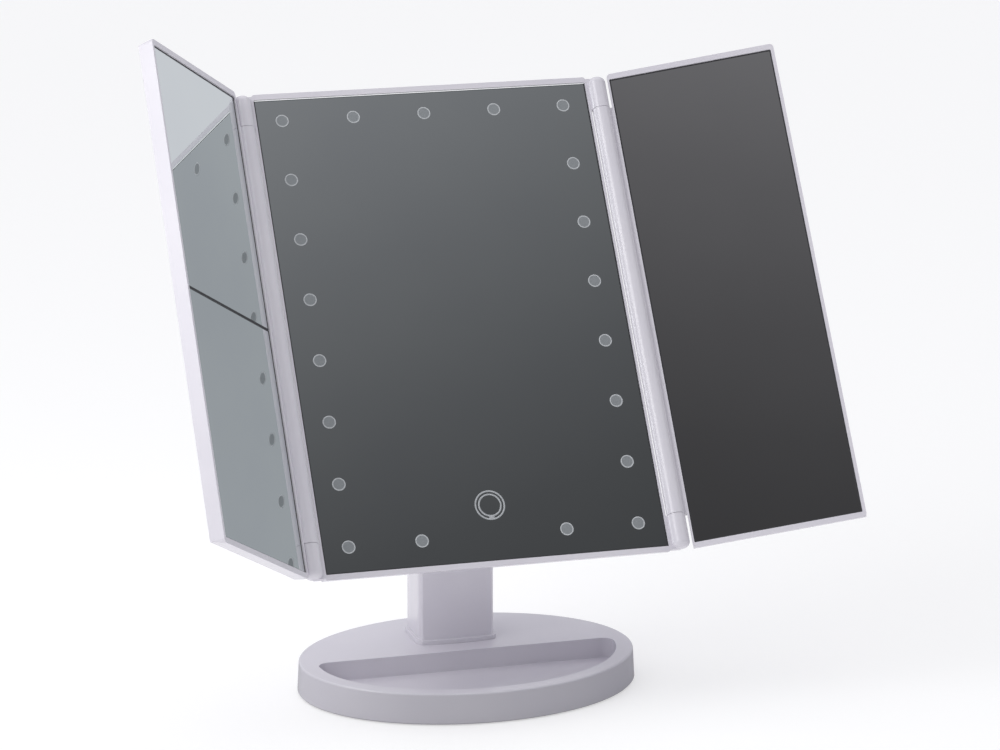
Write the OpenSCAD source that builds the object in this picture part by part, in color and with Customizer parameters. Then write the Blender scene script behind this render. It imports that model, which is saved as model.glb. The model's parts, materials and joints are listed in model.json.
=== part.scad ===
// Trifold vanity mirror on an oval tray base.
// Frame: origin at the middle of the base on the table, +Z up, the mirror faces -Y.
// The panel and the wings are drawn upright about their own axes and then placed.

/* [Centre mirror] */
// Width of the centre mirror glass
glass_w = 160; // [140:1:200]
// Height of the centre mirror glass
glass_h = 232; // [225:1:280]
// Thickness of every mirror glass
glass_t = 1.8; // [1.2:0.1:2.2]
// Width of the plastic lip beside the glass
side_lip = 1.3; // [1:0.1:3]
// Width of the plastic lip above and below the glass
end_lip = 3; // [2.4:0.1:6]
// How much the end walls slope inwards from lip to rear
end_slope = 1.8; // [1:0.1:3]
// How far the lip stands in front of the glass
lip_proud = 0.8; // [0.4:0.1:1.2]
// Gap round each glass in its pocket
glass_gap = 0.3; // [0.1:0.05:0.4]
// Thickness of the carrier floor behind the glass
floor_t = 1.2; // [0.8:0.1:1.6]
// Depth of the space for the light boards
board_space = 1.6; // [1.4:0.1:3]
// Thickness of the rear housing and wing covers
rear_t = 1.6; // [1.2:0.1:2.5]
// Corner radius of the panel and the wings
corner_r = 2; // [1:0.5:5]

/* [Wings and hinges] */
// Radius of the hinge barrels
barrel_r = 4.2; // [3.5:0.1:5]
// Gap between the centre frame and a barrel
barrel_gap = 0.5; // [0.3:0.1:1]
// Gap between an end knuckle and the wing plate
wing_gap = 1; // [0.6:0.1:2]
// Gap from the middle plane to each folded wing
meet_gap = 0.5; // [0.3:0.1:2]
// Width of the lip at the free edge of a wing
wing_lip = 1.9; // [1.2:0.1:4]
// How far the hinge axis lies in front of the lips
axis_lead = 0.2; // [0.15:0.05:0.6]
// Length of each end knuckle on the centre frame
knuckle_len = 16; // [12:0.5:24]
// How far the end knuckles stay inside the ends of the panel
knuckle_in = 1; // [0.5:0.1:4]
// End gap between knuckle and wing barrel
knuckle_gap = 0.2; // [0.2:0.1:0.8]
// Radius of the rounded knuckle ends
knuckle_round = 3; // [0.5:0.1:3.4]
// Radius of the hinge pins
hinge_pin_r = 1.5; // [1:0.1:2]
// Running clearance of pins in their bores
pin_clear = 0.05; // [0.02:0.01:0.09]
// Gap between the two magnifying glasses of the left wing
split_gap = 0.8; // [0.4:0.1:2]
// Thickness of the adhesive sheet behind a wing glass
tape_t = 0.4; // [0.2:0.1:0.6]
// Opening angle of the left wing, 0 is flat and 180 is folded
left_deg = 52.5; // [0:0.5:180]
// Opening angle of the right wing, 0 is flat and 180 is folded
right_deg = 18.8; // [0:0.1:180]

/* [Tilt pivot] */
// Backward tilt of the panel, 0 is upright
tilt_deg = 35.3; // [0:0.1:90]
// Height of the tilt pivot over the table
pivot_z = 158.8; // [152:0.1:200]
// Distance of the tilt pivot behind the glass front
pivot_back = 21; // [20.3:0.1:28]
// Radius of the pivot pin
pivot_pin_r = 3; // [2:0.1:4]
// Outer radius of the pivot bush
bush_r = 5; // [4.5:0.1:7]
// Gap between neck and lug, filled by a friction washer
lug_gap = 1.2; // [0.8:0.1:3]
// Thickness of each lug
lug_t = 5.5; // [4:0.1:9]
// Radius of each lug round the pin
lug_r = 9.5; // [8:0.1:12]
// Thickness of the pivot caps
cap_t = 1.2; // [0.6:0.1:2.5]

/* [Stand] */
// Width of the oval base at its foot
base_w = 160; // [150:0.2:200]
// Depth of the oval base at its foot
base_d = 118.4; // [114:0.1:150]
// Height of the top of the base over the table
base_top = 15; // [13:0.5:22]
// Thickness of the anti slip pad
pad_t = 0.6; // [0.5:0.1:2]
// Wall thickness of the base shell
base_wall = 2.2; // [1.6:0.1:3]
// Thickness of the base cover
cover_t = 2; // [1.5:0.1:2.4]
// Rounding of the upper rim of the base
rim_round = 1; // [0.4:0.1:2]
// How much the base wall leans in from foot to rim
base_lean = 0.7; // [0.2:0.1:1.2]
// Depth of the tray recess
tray_deep = 9.5; // [6:0.1:10]
// Rim width beside the tray at its ends
tray_rim_x = 8.7; // [6:0.1:14]
// Rim width in front of the tray
tray_rim_y = 7.2; // [5:0.1:12]
// Place of the straight back edge of the tray
tray_back = 2.7; // [-4:0.1:6]
// Corner radius of the tray
tray_corner = 5; // [2:0.5:8]
// Width of the neck
neck_w = 36.6; // [30:0.2:44]
// Depth of the neck
neck_d = 28; // [22:0.2:28.4]
// Corner radius of the neck
neck_r = 5; // [3:0.1:6]
// Radius of the gentle bow of the neck front
neck_bow_r = 111; // [80:1:300]
// Place of the neck behind the middle of the base
neck_y = 29; // [27:0.5:34]
// How far the foot flange stands out round the neck
flange_out = 1.3; // [0.5:0.1:3]
// Height of the foot flange
flange_h = 2; // [1:0.1:4]
// Wall thickness of the neck
neck_wall = 2.4; // [1.8:0.1:3.4]

/* [Lights] */
// Rows in each side column of lights
led_rows = 8; // [6:1:9]
// Distance from the side of the glass to the outer light columns
led_side = 12; // [9:0.5:15]
// Distance from the glass top to the first row
led_top = 10.6; // [8:0.1:20]
// Distance from the glass foot to the last row
led_foot = 12.1; // [8:0.1:20]
// Radius of a light window
window_r = 3; // [2:0.1:4.5]
// Distance of the touch key over the glass foot
key_up = 26.4; // [24:0.1:40]
// Outer radius of the touch key ring
key_r = 7.1; // [5:0.1:9]
// Width of the touch key ring
key_band = 2.4; // [1.6:0.1:3]
// Width of the light boards
strip_w = 10; // [8:0.5:11]

/* [Battery box] */
// Radius of one battery cell
cell_r = 5.25; // [5:0.05:5.4]
// Length of one battery cell
cell_len = 44.5; // [40:0.5:46]
// Number of battery cells side by side
cell_count = 4; // [2:1:4]
// Distance from one cell to the next
cell_pitch = 10.9; // [10.9:0.05:11.2]
// Length kept for springs and contacts
contact_space = 6.5; // [6:0.1:10]
// Wall thickness of the battery box
box_wall = 2; // [1.8:0.1:3]
// Thickness of the battery door
door_t = 1.5; // [1.4:0.1:2.5]
// Running gap round the battery door
door_gap = 0.15; // [0.1:0.01:0.3]
// Inner edge of the battery box beside the pivot
box_x = 29; // [28.5:0.5:33]

/* [Hidden] */
$fn = 48;

// small overshoot that keeps a cut open
cut = 1;

// Panel frame: origin on the tilt pivot, x to the right, z up, -y to the front.
panel_w = glass_w + 2 * side_lip;
panel_h = glass_h + 2 * end_lip;
glass_y = -pivot_back;
lip_y = glass_y - lip_proud;
floor_y = glass_y + glass_t;
space_y = floor_y + floor_t;
split_y = space_y + board_space;
rear_y = split_y + rear_t;
wall_in_w = panel_w - 2 * side_lip;
wall_in_h = panel_h - 2 * (side_lip + end_slope);

// Hinge axes and wings, each wing measured from its own hinge axis.
hinge_x = panel_w / 2 + barrel_gap + barrel_r;
axis_y = lip_y - axis_lead;
wing_in = barrel_r + wing_gap;
wing_out = hinge_x - meet_gap;
wing_mid = (wing_in + wing_out) / 2;
wing_w = wing_out - wing_in;
wing_glass_w = wing_w - side_lip - wing_lip;
wing_glass_mid = wing_in + side_lip + wing_glass_w / 2;
knuckle_end = panel_h / 2 - knuckle_in;
barrel_len = 2 * (knuckle_end - knuckle_len - knuckle_gap);
pin_seat = 8;
pin_end_wall = 3;
pin_end_play = 0.5;

// Lights: five columns across the top, the outer two going on down the sides
led_cols = 5;
led_dx = (glass_w - 2 * led_side) / (led_cols - 1);
led_z0 = glass_h / 2 - led_top;
led_dz = (glass_h - led_top - led_foot) / (led_rows - 1);
led_zn = led_z0 - led_dz * (led_rows - 1);
led_x0 = led_dx * (led_cols - 1) / 2;
key_z = -glass_h / 2 + key_up;
board_t = 1;
chip_w = 3;
chip_t = 0.8;
side_leds = [for (s = [-1, 1], i = [1:led_rows - 1]) [s * led_x0, led_z0 - i * led_dz]];
top_leds = [for (c = [0:led_cols - 1]) [-led_x0 + c * led_dx, led_z0]];
foot_leds = [for (s = [-1, 1]) [s * led_dx, led_zn]];
leds = concat(top_leds, side_leds, foot_leds);
key_groove = 0.3;
key_board_r = key_r + 1;

// Neck and pivot
neck_half = neck_w / 2;
lug_in = neck_half + lug_gap;
washer_t = lug_gap - 0.1;
washer_r = lug_r - 2;
cap_r = lug_r - 3.5;
lug_out = lug_in + lug_t;
lug_root = lug_r + 4.5;
neck_open_w = neck_w - 2 * (neck_r + 0.4);
neck_block = 12;
neck_open_lo = base_top + neck_block;
neck_open_hi = pivot_z - neck_d / 2 - 3.5;
neck_rib_h = 8;
neck_rib_z = [neck_open_lo + 18, neck_open_hi - 18];
plate_half_x = lug_out + 5;
plate_half_z = 20;
plate_t = 1.5;
plate_screw_z = lug_r - 0.5;

// Screws: shank radius, head radius, head height and lengths
screw_r = 1.4;
screw_head_r = 2.8;
screw_head_h = 1.8;
base_head_h = 0.8;
head_in = 0.2;
base_screw_len = 8;
neck_screw_bite = 9;
cover_head_h = 1.1;
small_r = 0.9;
small_head_r = 1.8;
small_head_h = 0.8;
screw_play = 0.08;

// Base, measured from the table up
shell_lo = pad_t;
cover_top = shell_lo + cover_t;
tray_floor = base_top - tray_deep;
tray_skin = 2;
foot_chamfer = 0.5;
roof_under = base_top - base_wall;
half_w = base_w / 2;
half_d = base_d / 2;
boss_r = 3.6;
boss_at = [[56, 22], [-56, 22], [26, 45], [-26, 45]];
neck_screw_x = 10;
weight_t = 4;
weight_front = tray_back + tray_skin + 2.5;

// Battery box and control box on the rear housing
bay_w = cell_count * cell_pitch;
bay_h = cell_len + contact_space;
box_w = bay_w + 2 * box_wall;
box_h = bay_h + 2 * box_wall;
bay_x = box_x + box_wall;
cell_y = rear_y + 0.2 + cell_r;
door_in_y = cell_y + cell_r + 0.2;
box_back = door_in_y + door_t;
tongue_out = 1;
tongue_t = 0.8;
door_lo = -box_h / 2;
door_hi = bay_h / 2;
ctrl_x = -47;
ctrl_w = 30;
ctrl_h = 28;
ctrl_back = rear_y + 6.8;
ctrl_wall = 1.6;
ctrl_board_w = 24;
ctrl_board_h = 22;
ctrl_board_y = rear_y + 0.2;
ctrl_board_lo = -ctrl_h / 2 + ctrl_wall + 0.2;
usb_w = 7.5;
usb_h = 2.8;
usb_deep = 5;
usb_gap = 0.25;
usb_y = ctrl_board_y + board_t;
housing_screw_at = [for (s = [-1, 1], z = [-1, 1], f = [0.94, 0.38])
  [s * (wall_in_w / 2 - 3.4), z * f * panel_h / 2]];
wing_screw_at = [for (x = [wing_in + 5, wing_out - 6], z = [-1, 1]) [x, z * (panel_h / 2 - 9)]];
wire_r = 0.5;
wire_y = space_y + wire_r + 0.2;
wire_pitch = 1.6;
lead_z = bay_h / 2 - 3;

white = [0.93, 0.92, 0.95];
soft_white = [0.86, 0.85, 0.89];
mirror_grey = [0.36, 0.37, 0.39];
frost = [0.62, 0.64, 0.66];
steel = [0.70, 0.71, 0.73];
board_green = [0.13, 0.40, 0.22];
dark_rubber = [0.16, 0.16, 0.17];
cell_colour = [0.20, 0.22, 0.26];
copper = [0.75, 0.45, 0.22];
tape_grey = [0.55, 0.56, 0.58];

// ---------- shared shapes ----------

// rectangle with true round corners
module round_rect(w, h, r) {
  square([w - 2 * r, h], center = true);
  square([w, h - 2 * r], center = true);
  for (x = [-1, 1], y = [-1, 1])
    translate([x * (w / 2 - r), y * (h / 2 - r)]) circle(r);
}

// slab standing in the x-z plane between the depths y0 and y1
module slab(w, h, y0, y1, r) {
  translate([0, y1, 0]) rotate([90, 0, 0]) linear_extrude(y1 - y0) round_rect(w, h, r);
}

// slab from y0 to y1 whose end walls slope inwards from the lip to the rear
module sloped_slab(w, y0, y1) {
  intersection() {
    slab(w, panel_h, y0, y1, corner_r);
    rotate([90, 0, 90]) translate([0, 0, -w]) linear_extrude(2 * w)
      polygon([for (q = [[lip_y, -1], [rear_y, -1], [rear_y, 1], [lip_y, 1]])
        [q[0], q[1] * (panel_h / 2 - (q[0] == rear_y ? end_slope : 0))]]);
  }
}

module block(x0, x1, y0, y1, z0, z1) {
  translate([x0, y0, z0]) cube([x1 - x0, y1 - y0, z1 - z0]);
}

// rod along y from y0 to y1 at (x, z)
module rod_y(x, z, y0, y1, r) {
  translate([x, y1, z]) rotate([90, 0, 0]) cylinder(h = y1 - y0, r = r);
}

// rod along x from x0 to x1 at (y, z)
module rod_x(y, z, x0, x1, r) {
  translate([x0, y, z]) rotate([0, 90, 0]) cylinder(h = x1 - x0, r = r);
}

// outline of the oval base, drawn in by d on every side
module oval(d = 0, n = 96) {
  polygon([for (i = [0:n - 1]) let (a = 360 * i / n) [(half_w - d) * cos(a), (half_d - d) * sin(a)]]);
}

// outline of the tray, grown by g on every side
module tray_outline(g = 0) {
  offset(r = g + tray_corner) offset(delta = -tray_corner) intersection() {
    polygon([for (i = [0:95]) let (a = 360 * i / 96)
      [(half_w - tray_rim_x) * cos(a), (half_d - tray_rim_y) * sin(a)]]);
    translate([-base_w, tray_back - 2 * base_d]) square([2 * base_w, 2 * base_d]);
  }
}

module in_panel() {
  translate([0, neck_y, pivot_z]) rotate([-tilt_deg, 0, 0]) children();
}

module in_right_wing() {
  in_panel() translate([hinge_x, axis_y, 0]) rotate([0, 0, -right_deg]) children();
}

module in_left_wing() {
  in_panel() translate([-hinge_x, axis_y, 0]) rotate([0, 0, left_deg]) mirror([1, 0, 0]) children();
}

// round bar along z with one rounded end at the top
module knuckle_bar(r, h, f) {
  rotate_extrude() {
    square([r - f, h]);
    square([r, h - f]);
    translate([r - f, h - f]) intersection() {
      circle(f);
      square([f, f]);
    }
  }
}

// ---------- base ----------

// rings of [height, inset] that give the outer shape of the base from the foot to the rim
module base_body() {
  n = 96;
  steps = 4;
  rings = concat([[shell_lo, foot_chamfer], [shell_lo + foot_chamfer, 0]],
    [for (i = [0:steps]) let (a = 90 * i / steps)
      [base_top - rim_round * (1 - sin(a)), base_lean + rim_round * (1 - cos(a))]]);
  last = (len(rings) - 1) * n;
  polyhedron(
    points = [for (q = rings, i = [0:n - 1]) let (a = 360 * i / n)
      [(half_w - q[1]) * cos(a), (half_d - q[1]) * sin(a), q[0]]],
    faces = concat(
      [[for (i = [0:n - 1]) i]],
      [[for (i = [n - 1:-1:0]) last + i]],
      [for (k = [0:len(rings) - 2], i = [0:n - 1]) [(k + 1) * n + i, k * n + (i + 1) % n, k * n + i]],
      [for (k = [0:len(rings) - 2], i = [0:n - 1])
        [(k + 1) * n + i, (k + 1) * n + (i + 1) % n, k * n + (i + 1) % n]]));
}

module base_shell() {
  color(white) difference() {
    union() {
      difference() {
        base_body();
        // recess for the cover, which the tray rests on
        translate([0, 0, shell_lo - cut]) linear_extrude(cover_t + cut) oval(base_wall);
        difference() {
          translate([0, 0, shell_lo]) linear_extrude(roof_under - shell_lo) oval(base_wall);
          linear_extrude(base_top) tray_outline(tray_skin);
        }
      }
      for (p = boss_at) translate([p[0], p[1], cover_top])
        cylinder(h = roof_under - cover_top + 0.5, r = boss_r);
    }
    translate([0, 0, tray_floor]) linear_extrude(base_top) tray_outline();
    for (p = boss_at) translate([p[0], p[1], cover_top - cut])
      cylinder(h = base_screw_len - cover_t + head_in + cut, r = screw_r + screw_play);
    for (s = [-1, 1]) translate([s * neck_screw_x, neck_y, roof_under - cut])
      cylinder(h = base_wall + 2 * cut, r = screw_r + screw_play);
  }
}

module base_cover() {
  color(soft_white) difference() {
    translate([0, 0, shell_lo]) linear_extrude(cover_t) oval(base_wall + 0.2);
    for (p = boss_at) translate([p[0], p[1], 0]) {
      cylinder(h = base_top, r = screw_r + screw_play);
      cylinder(h = shell_lo + head_in + base_head_h, r = screw_head_r + 0.2);
    }
  }
}

// ballast plate lying on the cover behind the tray
module base_weight() {
  color(steel) translate([0, 0, cover_top]) difference() {
    linear_extrude(weight_t) intersection() {
      oval(base_wall + 1.5);
      translate([-base_w / 2, weight_front]) square([base_w, base_d]);
    }
    for (p = boss_at) translate([p[0], p[1], -cut]) cylinder(h = weight_t + 2 * cut, r = boss_r + 0.3);
  }
}

module anti_slip_pad() {
  color(dark_rubber) difference() {
    linear_extrude(pad_t) oval(5);
    for (p = boss_at) translate([p[0], p[1], -cut])
      cylinder(h = pad_t + 2 * cut, r = screw_head_r + 0.4);
  }
}

module base_screws() {
  color(steel) for (p = boss_at) translate([p[0], p[1], shell_lo + head_in]) {
    cylinder(h = base_head_h, r = screw_head_r);
    cylinder(h = base_screw_len, r = screw_r);
  }
}

// ---------- neck ----------

// section of the neck with its bowed front, grown by g on every side
module neck_plan(g = 0) {
  intersection() {
    round_rect(neck_w + 2 * g, neck_d + 2 * g, neck_r + g);
    translate([0, neck_bow_r - neck_d / 2]) circle(neck_bow_r + g, $fn = 360);
  }
}

module neck_outer() {
  intersection() {
    translate([0, 0, base_top]) linear_extrude(pivot_z + neck_d / 2 - base_top) neck_plan();
    rotate([90, 0, 90]) translate([0, 0, -neck_w]) linear_extrude(2 * neck_w) {
      translate([-neck_d / 2, 0]) square([neck_d, pivot_z]);
      translate([0, pivot_z]) circle(neck_d / 2);
    }
  }
}

module neck_post() {
  color(white) translate([0, neck_y, 0]) difference() {
    union() {
      difference() {
        union() {
          neck_outer();
          translate([0, 0, base_top]) linear_extrude(flange_h) neck_plan(flange_out);
        }
        block(-neck_open_w / 2, neck_open_w / 2, -neck_d / 2 + neck_wall, neck_d,
              neck_open_lo, neck_open_hi);
      }
      for (z = neck_rib_z)
        block(-neck_open_w / 2, neck_open_w / 2, -neck_d / 2 + neck_wall,
              neck_d / 2 - neck_wall, z - neck_rib_h / 2, z + neck_rib_h / 2);
    }
    rod_x(0, pivot_z, -neck_w, neck_w, bush_r);
    for (s = [-1, 1]) translate([s * neck_screw_x, 0, base_top - cut])
      cylinder(h = neck_screw_bite + 1 + cut, r = screw_r + screw_play);
    for (z = neck_rib_z) rod_y(0, z, -2, neck_d, screw_r + screw_play);
  }
}

module neck_cover() {
  color(white) translate([0, neck_y, 0]) difference() {
    block(-neck_open_w / 2 + 0.1, neck_open_w / 2 - 0.1, neck_d / 2 - neck_wall, neck_d / 2,
          neck_open_lo + 0.1, neck_open_hi - 0.1);
    for (z = neck_rib_z) {
      rod_y(0, z, 0, neck_d, screw_r + screw_play);
      rod_y(0, z, neck_d / 2 - cover_head_h - head_in, neck_d, screw_head_r + 0.2);
    }
  }
}

// two screws from under the roof of the base into the neck
module neck_screws() {
  color(steel) for (s = [-1, 1])
    translate([s * neck_screw_x, neck_y, roof_under - screw_head_h]) {
      cylinder(h = screw_head_h, r = screw_head_r);
      cylinder(h = screw_head_h + base_wall + neck_screw_bite, r = screw_r);
    }
}

module neck_cover_screws() {
  color(steel) translate([0, neck_y, 0]) for (z = neck_rib_z) {
    rod_y(0, z, neck_d / 2 - cover_head_h - head_in, neck_d / 2 - head_in, screw_head_r);
    rod_y(0, z, 0, neck_d / 2 - head_in, screw_r);
  }
}

// sleeve in the neck that the pivot pin turns in
module pivot_bush() {
  color(steel) translate([0, neck_y, pivot_z]) difference() {
    rod_x(0, 0, -neck_half, neck_half, bush_r);
    rod_x(0, 0, -neck_w, neck_w, pivot_pin_r + pin_clear);
  }
}

// ---------- centre panel ----------

// knuckle and the web that joins it to the corner of the panel
module end_knuckle(up) {
  z0 = knuckle_end - knuckle_len;
  mirror([0, 0, up ? 0 : 1]) {
    translate([hinge_x, axis_y, z0]) knuckle_bar(barrel_r, knuckle_len, knuckle_round);
    block(panel_w / 2 - corner_r, hinge_x, lip_y, axis_y + barrel_r - knuckle_round / 2, z0, knuckle_end);
  }
}

module main_frame() {
  color(white) in_panel() difference() {
    union() {
      sloped_slab(panel_w, lip_y, split_y);
      for (s = [0, 1], up = [true, false]) mirror([s, 0, 0]) end_knuckle(up);
    }
    slab(glass_w + 2 * glass_gap, glass_h + 2 * glass_gap, lip_y - cut, floor_y, 0.5);
    difference() {
      slab(wall_in_w, wall_in_h, space_y, split_y + cut, 1);
      for (p = housing_screw_at) rod_y(p[0], p[1], space_y - cut, split_y, 2.4);
    }
    for (p = leds) rod_y(p[0], p[1], floor_y - cut, space_y + cut, window_r - 0.4);
    rod_y(0, key_z, floor_y - cut, space_y + cut, key_r);
    for (p = housing_screw_at) rod_y(p[0], p[1], floor_y + 0.4, split_y + cut, small_r + screw_play);
    for (s = [-1, 1], up = [-1, 1])
      translate([s * hinge_x, axis_y, up * (knuckle_end - knuckle_len / 2 - pin_end_wall / 2)])
        cylinder(h = knuckle_len - pin_end_wall + 0.02, r = hinge_pin_r + pin_clear, center = true);
  }
}

module lug(s) {
  x0 = s > 0 ? lug_in : -lug_out;
  difference() {
    translate([x0, 0, 0]) rotate([90, 0, 90]) linear_extrude(lug_t) {
      circle(lug_r);
      polygon([[0, -lug_r], [rear_y - 0.5, -lug_root], [rear_y - 0.5, lug_root], [0, lug_r]]);
    }
    rod_x(0, 0, x0 - cut, x0 + lug_t + cut, pivot_pin_r + pin_clear);
    for (z = [-1, 1])
      rod_y(s * (lug_in + lug_t / 2), z * plate_screw_z, rear_y - cut - rear_t, rear_y + 4, small_r + screw_play);
  }
}

module battery_box_walls() {
  difference() {
    block(box_x, box_x + box_w, rear_y - 0.5, box_back, -box_h / 2, box_h / 2);
    block(bay_x, bay_x + bay_w, rear_y, box_back + cut, -bay_h / 2, bay_h / 2);
    // the door runs out over the lower wall, its tongues in grooves of the side walls
    block(bay_x, bay_x + bay_w, door_in_y - door_gap, box_back + cut, -box_h, 0);
    block(bay_x - tongue_out - door_gap, bay_x + bay_w + tongue_out + door_gap,
          door_in_y - door_gap, door_in_y + tongue_t + door_gap, -box_h, bay_h / 2);
  }
}

module control_box_walls() {
  difference() {
    block(ctrl_x - ctrl_w / 2, ctrl_x + ctrl_w / 2, rear_y - 0.5, ctrl_back, -ctrl_h / 2, ctrl_h / 2);
    block(ctrl_x - ctrl_w / 2 + ctrl_wall, ctrl_x + ctrl_w / 2 - ctrl_wall, rear_y - cut,
          ctrl_back - ctrl_wall, -ctrl_h / 2 + ctrl_wall, ctrl_h / 2 - ctrl_wall);
    block(ctrl_x - usb_w / 2 - usb_gap, ctrl_x + usb_w / 2 + usb_gap, usb_y - usb_gap,
          usb_y + usb_h + usb_gap, -ctrl_h, 0);
  }
  // posts that the control board stands on
  for (s = [-1, 1], z = [ctrl_board_lo + 2, ctrl_board_lo + ctrl_board_h - 2])
    rod_y(ctrl_x + s * (ctrl_board_w / 2 - 2), z, ctrl_board_y + board_t, ctrl_back - ctrl_wall + 0.1, 1.4);
}

module rear_housing() {
  color(white) in_panel() difference() {
    union() {
      sloped_slab(panel_w, split_y, rear_y);
      // locating rib inside the frame wall
      difference() {
        slab(wall_in_w - 0.4, wall_in_h - 0.4, split_y - 0.9, split_y + 0.1, 1);
        slab(wall_in_w - 2, wall_in_h - 2, split_y - cut, split_y + cut, 1);
      }
      lug(1);
      lug(-1);
      battery_box_walls();
      control_box_walls();
    }
    block(ctrl_x - ctrl_w / 2 + ctrl_wall, ctrl_x + ctrl_w / 2 - ctrl_wall, split_y - cut,
          rear_y + cut, -ctrl_h / 2 + ctrl_wall, ctrl_h / 2 - ctrl_wall);
    for (s = [-1, 1], z = [-1, 1])
      rod_y(s * (lug_in + lug_t / 2), z * plate_screw_z, split_y - cut, rear_y + 4, small_r + screw_play);
    for (p = housing_screw_at) {
      rod_y(p[0], p[1], split_y - cut - 0.5, rear_y + cut, small_r + screw_play);
      rod_y(p[0], p[1], rear_y - small_head_h, rear_y + cut, small_head_r + 0.15);
    }
    // holes for the battery leads
    for (k = [0, 1])
      rod_y(bay_x + 3, lead_z - k * wire_pitch, split_y - cut, rear_y + cut, wire_r + 0.1);
  }
}

module main_mirror() {
  color(mirror_grey) in_panel() difference() {
    slab(glass_w, glass_h, glass_y, floor_y, 0.4);
    for (p = leds) rod_y(p[0], p[1], glass_y - cut, floor_y + cut, window_r);
    difference() {
      rod_y(0, key_z, glass_y - cut, glass_y + key_groove, key_r);
      rod_y(0, key_z, glass_y - 2 * cut, glass_y + cut, key_r - key_band);
    }
  }
}

// frosted light windows, flush with the glass
module light_windows() {
  color(frost) in_panel() for (p = leds) rod_y(p[0], p[1], glass_y, floor_y, window_r - 0.02);
}

// frosted ring that marks the touch key
module touch_ring() {
  color(frost) in_panel() difference() {
    rod_y(0, key_z, glass_y, glass_y + key_groove, key_r - 0.02);
    rod_y(0, key_z, glass_y - cut, glass_y + cut, key_r - key_band + 0.02);
  }
}

// round touch sensor board under the key
module touch_board() {
  color(board_green) in_panel() {
    rod_y(0, key_z, space_y, space_y + board_t, key_board_r);
    rod_y(0, key_z, floor_y, space_y + 0.1, key_r - key_band / 2);
  }
}

module light_board(x0, x1, z0, z1) {
  color(board_green) in_panel() block(x0, x1, space_y, space_y + board_t, z0, z1);
}

module top_light_board() {
  light_board(-led_x0 + strip_w / 2 + 0.5, led_x0 - strip_w / 2 - 0.5,
              led_z0 - strip_w / 2, led_z0 + strip_w / 2);
}

module side_light_board(s) {
  light_board(s * led_x0 - strip_w / 2, s * led_x0 + strip_w / 2,
              led_zn - strip_w / 2, led_z0 + strip_w / 2);
}

module left_light_board() {
  side_light_board(-1);
}

module right_light_board() {
  side_light_board(1);
}

module bottom_light_board() {
  light_board(-led_dx - strip_w / 2, led_dx + strip_w / 2, led_zn - strip_w / 2, led_zn + strip_w / 2);
}

module light_chips() {
  color([0.95, 0.93, 0.75]) in_panel() for (p = leds)
    block(p[0] - chip_w / 2, p[0] + chip_w / 2, space_y - chip_t, space_y,
          p[1] - chip_w / 2, p[1] + chip_w / 2);
}

module control_board() {
  color(board_green) in_panel() {
    block(ctrl_x - ctrl_board_w / 2, ctrl_x + ctrl_board_w / 2, ctrl_board_y, ctrl_board_y + board_t,
          ctrl_board_lo, ctrl_board_lo + ctrl_board_h);
    // controller chip and two components
    block(ctrl_x - 4, ctrl_x + 4, ctrl_board_y + board_t, ctrl_board_y + board_t + 1.4, 0, 6);
    for (s = [-1, 1]) rod_y(ctrl_x + s * 8, 3, ctrl_board_y + board_t, ctrl_board_y + board_t + 3, 1.8);
  }
}

module usb_socket() {
  z0 = -ctrl_h / 2 + 0.4;
  color(steel) in_panel() difference() {
    block(ctrl_x - usb_w / 2, ctrl_x + usb_w / 2, usb_y, usb_y + usb_h, z0, z0 + usb_deep);
    difference() {
      block(ctrl_x - usb_w / 2 + 0.4, ctrl_x + usb_w / 2 - 0.4, usb_y + 0.4, usb_y + usb_h - 0.4,
            z0 - cut, z0 + usb_deep - 0.6);
      block(ctrl_x - 1.9, ctrl_x + 1.9, usb_y + 1, usb_y + 1.6, z0 + 0.6, z0 + usb_deep);
    }
  }
}

// leads from the batteries and the control board to the light boards
module lead_wires() {
  color([0.65, 0.12, 0.12]) in_panel() {
    for (k = [0, 1]) {
      z = lead_z - k * wire_pitch;
      rod_x(wire_y, z, ctrl_x + 6 + 3 * k, bay_x + 3, wire_r);
      rod_y(bay_x + 3, z, wire_y, rear_y + 0.6, wire_r);
      translate([ctrl_x + 6 + 3 * k, wire_y, 6]) cylinder(h = z - 6, r = wire_r);
      rod_y(ctrl_x + 6 + 3 * k, 6, wire_y, ctrl_board_y, wire_r);
    }
    rod_x(wire_y, -6, -led_x0 + strip_w / 2, ctrl_x - 6, wire_r);
    rod_y(ctrl_x - 6, -6, wire_y, ctrl_board_y, wire_r);
    translate([ctrl_x + 11, wire_y, led_zn + strip_w / 2])
      cylinder(h = -8 - led_zn - strip_w / 2, r = wire_r);
    rod_y(ctrl_x + 11, -8, wire_y, ctrl_board_y, wire_r);
    rod_x(wire_y, -24, ctrl_x + 11, led_x0 - strip_w / 2, wire_r);
    translate([0, wire_y, led_zn + strip_w / 2])
      cylinder(h = key_z - key_board_r - led_zn - strip_w / 2, r = wire_r);
    translate([-led_x0 + strip_w, wire_y, lead_z])
      cylinder(h = led_z0 - strip_w / 2 - lead_z, r = wire_r);
    rod_x(wire_y, lead_z, -led_x0 + strip_w, ctrl_x + 6, wire_r);
  }
}

// ---------- battery box ----------

module cell_places() {
  for (i = [0:cell_count - 1])
    translate([bay_x + (i + 0.5) * cell_pitch, cell_y, 0]) mirror([0, 0, i % 2]) children();
}

module batteries() {
  color(cell_colour) in_panel() cell_places() translate([0, 0, -cell_len / 2 - 0.6]) {
    cylinder(h = cell_len - 1, r = cell_r);
    cylinder(h = cell_len, r = 1.9);
  }
}

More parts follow.
